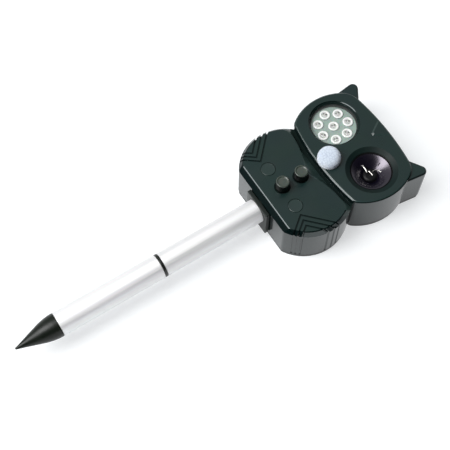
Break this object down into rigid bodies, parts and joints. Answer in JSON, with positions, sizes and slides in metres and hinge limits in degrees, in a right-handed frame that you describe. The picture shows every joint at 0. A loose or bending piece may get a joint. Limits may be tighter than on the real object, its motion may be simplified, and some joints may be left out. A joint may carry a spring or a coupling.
{
  "type": "ultrasonic pest repeller",
  "caption": "Owl-shaped garden pest repeller with a strobe eye, a speaker eye, a domed motion sensor and belly knobs, on a sectional aluminium ground stake.",
  "frame": {"origin": "on the flat back of the housing, on its centre line at the waist between head and belly", "axes": "+Z is the way the face looks, +Y runs from the spike towards the ears, +X is the speaker's side"},
  "size_m": [0.1066, 0.3476, 0.0553],
  "materials": {
    "housing_plastic": "dark blue-green moulded plastic, glossy",
    "rear_plastic": "black moulded plastic, fine texture",
    "seal_rubber": "black rubber",
    "screw_steel": "zinc-plated steel",
    "window_clear": "clear plastic window",
    "strobe_board": "pale green circuit board",
    "strobe_clear": "clear cast lamps",
    "black_trim": "black plastic",
    "speaker_black": "glossy purple-black film",
    "piezo_brass": "plain brass",
    "lens_white": "milky white plastic",
    "board_green": "green circuit board",
    "pot_blue": "blue moulded body",
    "knob_plastic": "olive-black plastic",
    "cell_wrap": "blue shrink wrap",
    "solar_glass": "dark blue cells under clear resin",
    "socket_plastic": "dark moulded plastic",
    "tube_aluminium": "satin drawn tube",
    "spike_plastic": "black moulded plastic, glossy"
  },
  "bodies": {
    "housing": {"battery_cell": "cell_wrap", "battery_holder": "rear_plastic", "board_screw_1": "screw_steel", "board_screw_2": "screw_steel", "board_screw_3": "screw_steel", "board_screw_4": "screw_steel", "cover_screw_1": "screw_steel", "cover_screw_2": "screw_steel", "cover_screw_3": "screw_steel", "cover_screw_4": "screw_steel", "frequency_pot": "pot_blue", "front_cover": "housing_plastic", "housing_seal": "seal_rubber", "led_board": "strobe_board", "led_spacer": "black_trim", "led_window": "window_clear", "left_plug": "housing_plastic", "main_board": "board_green", "piezo_disc": "piezo_brass", "pir_lens": "lens_white", "rear_cover": "rear_plastic", "right_plug": "housing_plastic", "sensitivity_pot": "pot_blue", "sensor_board": "board_green", "sensor_can": "screw_steel", "solar_panel": "solar_glass", "speaker_cap": "speaker_black", "speaker_cone": "speaker_black", "speaker_frame": "black_trim", "stake_socket": "socket_plastic", "strobe_led_1": "strobe_clear", "strobe_led_2": "strobe_clear", "strobe_led_3": "strobe_clear", "strobe_led_4": "strobe_clear", "strobe_led_5": "strobe_clear", "strobe_led_6": "strobe_clear", "strobe_led_7": "strobe_clear", "strobe_led_8": "strobe_clear", "switch_body": "screw_steel", "usb_socket": "screw_steel"},
    "lower_knob": {"frequency_knob": "knob_plastic", "frequency_shaft": "screw_steel"},
    "upper_knob": {"sensitivity_knob": "knob_plastic", "sensitivity_shaft": "screw_steel"},
    "power_slider": {"switch_slider": "black_trim"},
    "usb_flap": {"usb_cover": "seal_rubber"},
    "upper_stake": {"upper_tube": "tube_aluminium", "tube_joint": "spike_plastic"},
    "lower_stake": {"lower_tube": "tube_aluminium", "spike": "spike_plastic"}
  },
  "joints": [
    {"name": "frequency_knob_turn", "type": "hinge", "parent": "housing", "child": "lower_knob", "pos_m": [0, -0.0379, 0.0412], "axis": [0, 0, 1], "range_deg": [-135, 135]},
    {"name": "sensitivity_knob_turn", "type": "hinge", "parent": "housing", "child": "upper_knob", "pos_m": [0, -0.0203, 0.0412], "axis": [0, 0, 1], "range_deg": [-135, 135]},
    {"name": "power_switch_slide", "type": "slide", "parent": "housing", "child": "power_slider", "axis": [1, 0, 0], "range_m": [0, 0.0024]},
    {"name": "usb_cover_open", "type": "hinge", "parent": "housing", "child": "usb_flap", "pos_m": [-0.02015, -0.0455, 0.00075], "axis": [0, 1, 0], "range_deg": [0, 95]},
    {"name": "stake_pull", "type": "slide", "parent": "housing", "child": "upper_stake", "axis": [0, -1, 0], "range_m": [0, 0.03]},
    {"name": "lower_stake_pull", "type": "slide", "parent": "upper_stake", "child": "lower_stake", "axis": [0, -1, 0], "range_m": [0, 0.03]}
  ]
}
